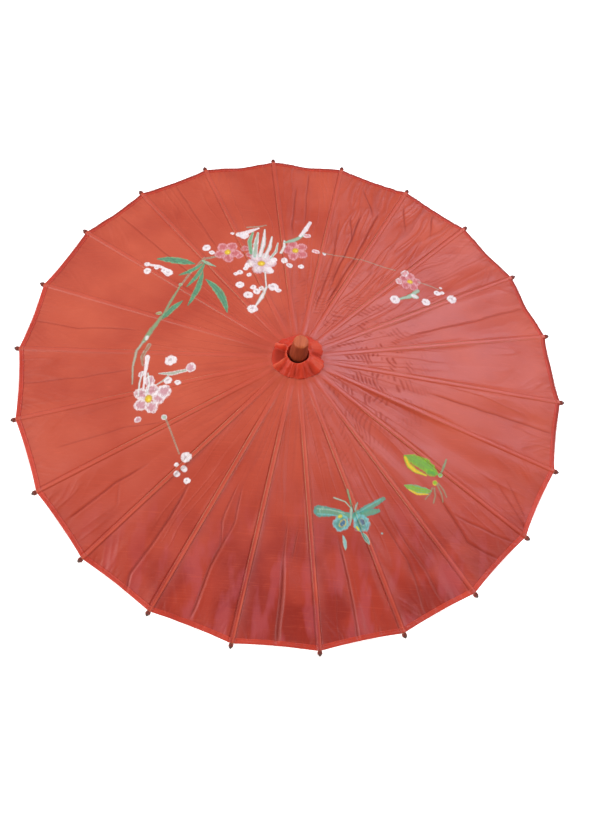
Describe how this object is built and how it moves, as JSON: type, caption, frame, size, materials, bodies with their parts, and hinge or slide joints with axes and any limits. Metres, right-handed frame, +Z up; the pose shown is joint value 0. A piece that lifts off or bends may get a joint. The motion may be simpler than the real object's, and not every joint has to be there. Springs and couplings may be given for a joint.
{
  "type": "cloth parasol",
  "caption": "Open folding parasol: shallow red satin cover with painted blossom on a split bamboo frame, gathered collar, turned wooden head, runner, catch and grip.",
  "frame": {"origin": "middle of the grip's flat lower end, on the shaft's axis", "axes": "+Z up the shaft to the head, +X along the first rib"},
  "size_m": [0.8208, 0.8126, 0.54],
  "materials": {
    "pole_wood": "satin",
    "turned_wood": "satin",
    "head_wood": "varnished",
    "pin_bamboo": "matte",
    "steel_wire": "satin",
    "spring_steel": "satin",
    "tie_thread": "matte",
    "red_satin": "satin",
    "hem_cloth": "satin",
    "rim_thread": "matte",
    "collar_cloth": "satin",
    "rib_bamboo": "matte",
    "stretcher_bamboo": "matte"
  },
  "bodies": {
    "root": {"shaft": "pole_wood", "grip": "turned_wood", "top_notch": "head_wood", "notch_pin": "pin_bamboo", "notch_wire": "steel_wire", "stop_pin": "pin_bamboo", "catch_pin": "steel_wire", "cap_tie": "tie_thread", "canopy": "red_satin", "rim_hem": "hem_cloth", "rim_thread": "rim_thread", "crown_cap": "collar_cloth"},
    "runner": {"runner": "turned_wood", "runner_wire": "steel_wire"},
    "catch": {"catch": "spring_steel"},
    "rib_01": {"rib_01": "rib_bamboo"},
    "stretcher_01": {"stretcher_01": "stretcher_bamboo"},
    "rib_02": {"rib_02": "rib_bamboo"},
    "stretcher_02": {"stretcher_02": "stretcher_bamboo"},
    "rib_03": {"rib_03": "rib_bamboo"},
    "stretcher_03": {"stretcher_03": "stretcher_bamboo"},
    "rib_04": {"rib_04": "rib_bamboo"},
    "stretcher_04": {"stretcher_04": "stretcher_bamboo"},
    "rib_05": {"rib_05": "rib_bamboo"},
    "stretcher_05": {"stretcher_05": "stretcher_bamboo"},
    "rib_06": {"rib_06": "rib_bamboo"},
    "stretcher_06": {"stretcher_06": "stretcher_bamboo"},
    "rib_07": {"rib_07": "rib_bamboo"},
    "stretcher_07": {"stretcher_07": "stretcher_bamboo"},
    "rib_08": {"rib_08": "rib_bamboo"},
    "stretcher_08": {"stretcher_08": "stretcher_bamboo"},
    "rib_09": {"rib_09": "rib_bamboo"},
    "stretcher_09": {"stretcher_09": "stretcher_bamboo"},
    "rib_10": {"rib_10": "rib_bamboo"},
    "stretcher_10": {"stretcher_10": "stretcher_bamboo"},
    "rib_11": {"rib_11": "rib_bamboo"},
    "stretcher_11": {"stretcher_11": "stretcher_bamboo"},
    "rib_12": {"rib_12": "rib_bamboo"},
    "stretcher_12": {"stretcher_12": "stretcher_bamboo"},
    "rib_13": {"rib_13": "rib_bamboo"},
    "stretcher_13": {"stretcher_13": "stretcher_bamboo"},
    "rib_14": {"rib_14": "rib_bamboo"},
    "stretcher_14": {"stretcher_14": "stretcher_bamboo"},
    "rib_15": {"rib_15": "rib_bamboo"},
    "stretcher_15": {"stretcher_15": "stretcher_bamboo"},
    "rib_16": {"rib_16": "rib_bamboo"},
    "stretcher_16": {"stretcher_16": "stretcher_bamboo"},
    "rib_17": {"rib_17": "rib_bamboo"},
    "stretcher_17": {"stretcher_17": "stretcher_bamboo"},
    "rib_18": {"rib_18": "rib_bamboo"},
    "stretcher_18": {"stretcher_18": "stretcher_bamboo"},
    "rib_19": {"rib_19": "rib_bamboo"},
    "stretcher_19": {"stretcher_19": "stretcher_bamboo"},
    "rib_20": {"rib_20": "rib_bamboo"},
    "stretcher_20": {"stretcher_20": "stretcher_bamboo"},
    "rib_21": {"rib_21": "rib_bamboo"},
    "stretcher_21": {"stretcher_21": "stretcher_bamboo"},
    "rib_22": {"rib_22": "rib_bamboo"},
    "stretcher_22": {"stretcher_22": "stretcher_bamboo"}
  },
  "joints": [
    {"name": "rib_01_fold", "type": "hinge", "parent": "root", "child": "rib_01", "pos_m": [0.018, 0, 0.49], "axis": [0, 1, 0], "range_deg": [0, 79], "deforming": ["canopy", "rim_hem", "rim_thread", "catch"]},
    {"name": "stretcher_01_pivot", "type": "hinge", "parent": "rib_01", "child": "stretcher_01", "pos_m": [0.2012, 0, 0.46425], "axis": [0, 1, 0], "range_deg": [-158, 0]},
    {"name": "rib_02_fold", "type": "hinge", "parent": "root", "child": "rib_02", "pos_m": [0.01727, 0.00507, 0.49], "axis": [-0.2817, 0.9595, 0], "range_deg": [0, 79]},
    {"name": "stretcher_02_pivot", "type": "hinge", "parent": "rib_02", "child": "stretcher_02", "pos_m": [0.19305, 0.05668, 0.46425], "axis": [-0.2817, 0.9595, 0], "range_deg": [-158, 0]},
    {"name": "rib_03_fold", "type": "hinge", "parent": "root", "child": "rib_03", "pos_m": [0.01514, 0.00973, 0.49], "axis": [-0.5406, 0.8413, 0], "range_deg": [0, 79]},
    {"name": "stretcher_03_pivot", "type": "hinge", "parent": "rib_03", "child": "stretcher_03", "pos_m": [0.16926, 0.10878, 0.46425], "axis": [-0.5406, 0.8413, 0], "range_deg": [-158, 0]},
    {"name": "rib_04_fold", "type": "hinge", "parent": "root", "child": "rib_04", "pos_m": [0.01179, 0.0136, 0.49], "axis": [-0.7557, 0.6549, 0], "range_deg": [0, 79]},
    {"name": "stretcher_04_pivot", "type": "hinge", "parent": "rib_04", "child": "stretcher_04", "pos_m": [0.13176, 0.15206, 0.46425], "axis": [-0.7557, 0.6549, 0], "range_deg": [-158, 0]},
    {"name": "rib_05_fold", "type": "hinge", "parent": "root", "child": "rib_05", "pos_m": [0.00748, 0.01637, 0.49], "axis": [-0.9096, 0.4154, 0], "range_deg": [0, 79]},
    {"name": "stretcher_05_pivot", "type": "hinge", "parent": "rib_05", "child": "stretcher_05", "pos_m": [0.08358, 0.18302, 0.46425], "axis": [-0.9096, 0.4154, 0], "range_deg": [-158, 0]},
    {"name": "rib_06_fold", "type": "hinge", "parent": "root", "child": "rib_06", "pos_m": [0.00256, 0.01782, 0.49], "axis": [-0.9898, 0.1423, 0], "range_deg": [0, 79]},
    {"name": "stretcher_06_pivot", "type": "hinge", "parent": "rib_06", "child": "stretcher_06", "pos_m": [0.02863, 0.19915, 0.46425], "axis": [-0.9898, 0.1423, 0], "range_deg": [-158, 0]},
    {"name": "rib_07_fold", "type": "hinge", "parent": "root", "child": "rib_07", "pos_m": [-0.00256, 0.01782, 0.49], "axis": [-0.9898, -0.1423, 0], "range_deg": [0, 79]},
    {"name": "stretcher_07_pivot", "type": "hinge", "parent": "rib_07", "child": "stretcher_07", "pos_m": [-0.02863, 0.19915, 0.46425], "axis": [-0.9898, -0.1423, 0], "range_deg": [-158, 0]},
    {"name": "rib_08_fold", "type": "hinge", "parent": "root", "child": "rib_08", "pos_m": [-0.00748, 0.01637, 0.49], "axis": [-0.9096, -0.4154, 0], "range_deg": [0, 79]},
    {"name": "stretcher_08_pivot", "type": "hinge", "parent": "rib_08", "child": "stretcher_08", "pos_m": [-0.08358, 0.18302, 0.46425], "axis": [-0.9096, -0.4154, 0], "range_deg": [-158, 0]},
    {"name": "rib_09_fold", "type": "hinge", "parent": "root", "child": "rib_09", "pos_m": [-0.01179, 0.0136, 0.49], "axis": [-0.7557, -0.6549, 0], "range_deg": [0, 79]},
    {"name": "stretcher_09_pivot", "type": "hinge", "parent": "rib_09", "child": "stretcher_09", "pos_m": [-0.13176, 0.15206, 0.46425], "axis": [-0.7557, -0.6549, 0], "range_deg": [-158, 0]},
    {"name": "rib_10_fold", "type": "hinge", "parent": "root", "child": "rib_10", "pos_m": [-0.01514, 0.00973, 0.49], "axis": [-0.5406, -0.8413, 0], "range_deg": [0, 79]},
    {"name": "stretcher_10_pivot", "type": "hinge", "parent": "rib_10", "child": "stretcher_10", "pos_m": [-0.16926, 0.10878, 0.46425], "axis": [-0.5406, -0.8413, 0], "range_deg": [-158, 0]},
    {"name": "rib_11_fold", "type": "hinge", "parent": "root", "child": "rib_11", "pos_m": [-0.01727, 0.00507, 0.49], "axis": [-0.2817, -0.9595, 0], "range_deg": [0, 79]},
    {"name": "stretcher_11_pivot", "type": "hinge", "parent": "rib_11", "child": "stretcher_11", "pos_m": [-0.19305, 0.05668, 0.46425], "axis": [-0.2817, -0.9595, 0], "range_deg": [-158, 0]},
    {"name": "rib_12_fold", "type": "hinge", "parent": "root", "child": "rib_12", "pos_m": [-0.018, 0, 0.49], "axis": [0, -1, 0], "range_deg": [0, 79]},
    {"name": "stretcher_12_pivot", "type": "hinge", "parent": "rib_12", "child": "stretcher_12", "pos_m": [-0.2012, 0, 0.46425], "axis": [0, -1, 0], "range_deg": [-158, 0]},
    {"name": "rib_13_fold", "type": "hinge", "parent": "root", "child": "rib_13", "pos_m": [-0.01727, -0.00507, 0.49], "axis": [0.2817, -0.9595, 0], "range_deg": [0, 79]},
    {"name": "stretcher_13_pivot", "type": "hinge", "parent": "rib_13", "child": "stretcher_13", "pos_m": [-0.19305, -0.05668, 0.46425], "axis": [0.2817, -0.9595, 0], "range_deg": [-158, 0]},
    {"name": "rib_14_fold", "type": "hinge", "parent": "root", "child": "rib_14", "pos_m": [-0.01514, -0.00973, 0.49], "axis": [0.5406, -0.8413, 0], "range_deg": [0, 79]},
    {"name": "stretcher_14_pivot", "type": "hinge", "parent": "rib_14", "child": "stretcher_14", "pos_m": [-0.16926, -0.10878, 0.46425], "axis": [0.5406, -0.8413, 0], "range_deg": [-158, 0]},
    {"name": "rib_15_fold", "type": "hinge", "parent": "root", "child": "rib_15", "pos_m": [-0.01179, -0.0136, 0.49], "axis": [0.7557, -0.6549, 0], "range_deg": [0, 79]},
    {"name": "stretcher_15_pivot", "type": "hinge", "parent": "rib_15", "child": "stretcher_15", "pos_m": [-0.13176, -0.15206, 0.46425], "axis": [0.7557, -0.6549, 0], "range_deg": [-158, 0]},
    {"name": "rib_16_fold", "type": "hinge", "parent": "root", "child": "rib_16", "pos_m": [-0.00748, -0.01637, 0.49], "axis": [0.9096, -0.4154, 0], "range_deg": [0, 79]},
    {"name": "stretcher_16_pivot", "type": "hinge", "parent": "rib_16", "child": "stretcher_16", "pos_m": [-0.08358, -0.18302, 0.46425], "axis": [0.9096, -0.4154, 0], "range_deg": [-158, 0]},
    {"name": "rib_17_fold", "type": "hinge", "parent": "root", "child": "rib_17", "pos_m": [-0.00256, -0.01782, 0.49], "axis": [0.9898, -0.1423, 0], "range_deg": [0, 79]},
    {"name": "stretcher_17_pivot", "type": "hinge", "parent": "rib_17", "child": "stretcher_17", "pos_m": [-0.02863, -0.19915, 0.46425], "axis": [0.9898, -0.1423, 0], "range_deg": [-158, 0]},
    {"name": "rib_18_fold", "type": "hinge", "parent": "root", "child": "rib_18", "pos_m": [0.00256, -0.01782, 0.49], "axis": [0.9898, 0.1423, 0], "range_deg": [0, 79]},
    {"name": "stretcher_18_pivot", "type": "hinge", "parent": "rib_18", "child": "stretcher_18", "pos_m": [0.02863, -0.19915, 0.46425], "axis": [0.9898, 0.1423, 0], "range_deg": [-158, 0]},
    {"name": "rib_19_fold", "type": "hinge", "parent": "root", "child": "rib_19", "pos_m": [0.00748, -0.01637, 0.49], "axis": [0.9096, 0.4154, 0], "range_deg": [0, 79]},
    {"name": "stretcher_19_pivot", "type": "hinge", "parent": "rib_19", "child": "stretcher_19", "pos_m": [0.08358, -0.18302, 0.46425], "axis": [0.9096, 0.4154, 0], "range_deg": [-158, 0]},
    {"name": "rib_20_fold", "type": "hinge", "parent": "root", "child": "rib_20", "pos_m": [0.01179, -0.0136, 0.49], "axis": [0.7557, 0.6549, 0], "range_deg": [0, 79]},
    {"name": "stretcher_20_pivot", "type": "hinge", "parent": "rib_20", "child": "stretcher_20", "pos_m": [0.13176, -0.15206, 0.46425], "axis": [0.7557, 0.6549, 0], "range_deg": [-158, 0]},
    {"name": "rib_21_fold", "type": "hinge", "parent": "root", "child": "rib_21", "pos_m": [0.01514, -0.00973, 0.49], "axis": [0.5406, 0.8413, 0], "range_deg": [0, 79]},
    {"name": "stretcher_21_pivot", "type": "hinge", "parent": "rib_21", "child": "stretcher_21", "pos_m": [0.16926, -0.10878, 0.46425], "axis": [0.5406, 0.8413, 0], "range_deg": [-158, 0]},
    {"name": "rib_22_fold", "type": "hinge", "parent": "root", "child": "rib_22", "pos_m": [0.01727, -0.00507, 0.49], "axis": [0.2817, 0.9595, 0], "range_deg": [0, 79]},
    {"name": "stretcher_22_pivot", "type": "hinge", "parent": "rib_22", "child": "stretcher_22", "pos_m": [0.19305, -0.05668, 0.46425], "axis": [0.2817, 0.9595, 0], "range_deg": [-158, 0]},
    {"name": "runner_pivot", "type": "hinge", "parent": "stretcher_01", "child": "runner", "pos_m": [0.018, 0, 0.43851], "axis": [0, 1, 0], "range_deg": [0, 79]},
    {"name": "catch_press", "type": "hinge", "parent": "root", "child": "catch", "pos_m": [0, 0, 0.35611], "axis": [1, 0, 0], "range_deg": [0, 4.5], "stiffness_Nm_per_rad": 0.5, "springref_deg": -5.73}
  ],
  "couplings": [
    {"joint": "stretcher_01_pivot", "follows": "rib_01_fold", "ratio": -2},
    {"joint": "rib_02_fold", "follows": "rib_01_fold", "ratio": 1},
    {"joint": "stretcher_02_pivot", "follows": "rib_01_fold", "ratio": -2},
    {"joint": "rib_03_fold", "follows": "rib_01_fold", "ratio": 1},
    {"joint": "stretcher_03_pivot", "follows": "rib_01_fold", "ratio": -2},
    {"joint": "rib_04_fold", "follows": "rib_01_fold", "ratio": 1},
    {"joint": "stretcher_04_pivot", "follows": "rib_01_fold", "ratio": -2},
    {"joint": "rib_05_fold", "follows": "rib_01_fold", "ratio": 1},
    {"joint": "stretcher_05_pivot", "follows": "rib_01_fold", "ratio": -2},
    {"joint": "rib_06_fold", "follows": "rib_01_fold", "ratio": 1},
    {"joint": "stretcher_06_pivot", "follows": "rib_01_fold", "ratio": -2},
    {"joint": "rib_07_fold", "follows": "rib_01_fold", "ratio": 1},
    {"joint": "stretcher_07_pivot", "follows": "rib_01_fold", "ratio": -2},
    {"joint": "rib_08_fold", "follows": "rib_01_fold", "ratio": 1},
    {"joint": "stretcher_08_pivot", "follows": "rib_01_fold", "ratio": -2},
    {"joint": "rib_09_fold", "follows": "rib_01_fold", "ratio": 1},
    {"joint": "stretcher_09_pivot", "follows": "rib_01_fold", "ratio": -2},
    {"joint": "rib_10_fold", "follows": "rib_01_fold", "ratio": 1},
    {"joint": "stretcher_10_pivot", "follows": "rib_01_fold", "ratio": -2},
    {"joint": "rib_11_fold", "follows": "rib_01_fold", "ratio": 1},
    {"joint": "stretcher_11_pivot", "follows": "rib_01_fold", "ratio": -2},
    {"joint": "rib_12_fold", "follows": "rib_01_fold", "ratio": 1},
    {"joint": "stretcher_12_pivot", "follows": "rib_01_fold", "ratio": -2},
    {"joint": "rib_13_fold", "follows": "rib_01_fold", "ratio": 1},
    {"joint": "stretcher_13_pivot", "follows": "rib_01_fold", "ratio": -2},
    {"joint": "rib_14_fold", "follows": "rib_01_fold", "ratio": 1},
    {"joint": "stretcher_14_pivot", "follows": "rib_01_fold", "ratio": -2},
    {"joint": "rib_15_fold", "follows": "rib_01_fold", "ratio": 1},
    {"joint": "stretcher_15_pivot", "follows": "rib_01_fold", "ratio": -2},
    {"joint": "rib_16_fold", "follows": "rib_01_fold", "ratio": 1},
    {"joint": "stretcher_16_pivot", "follows": "rib_01_fold", "ratio": -2},
    {"joint": "rib_17_fold", "follows": "rib_01_fold", "ratio": 1},
    {"joint": "stretcher_17_pivot", "follows": "rib_01_fold", "ratio": -2},
    {"joint": "rib_18_fold", "follows": "rib_01_fold", "ratio": 1},
    {"joint": "stretcher_18_pivot", "follows": "rib_01_fold", "ratio": -2},
    {"joint": "rib_19_fold", "follows": "rib_01_fold", "ratio": 1},
    {"joint": "stretcher_19_pivot", "follows": "rib_01_fold", "ratio": -2},
    {"joint": "rib_20_fold", "follows": "rib_01_fold", "ratio": 1},
    {"joint": "stretcher_20_pivot", "follows": "rib_01_fold", "ratio": -2},
    {"joint": "rib_21_fold", "follows": "rib_01_fold", "ratio": 1},
    {"joint": "stretcher_21_pivot", "follows": "rib_01_fold", "ratio": -2},
    {"joint": "rib_22_fold", "follows": "rib_01_fold", "ratio": 1},
    {"joint": "stretcher_22_pivot", "follows": "rib_01_fold", "ratio": -2},
    {"joint": "runner_pivot", "follows": "rib_01_fold", "ratio": 1}
  ]
}
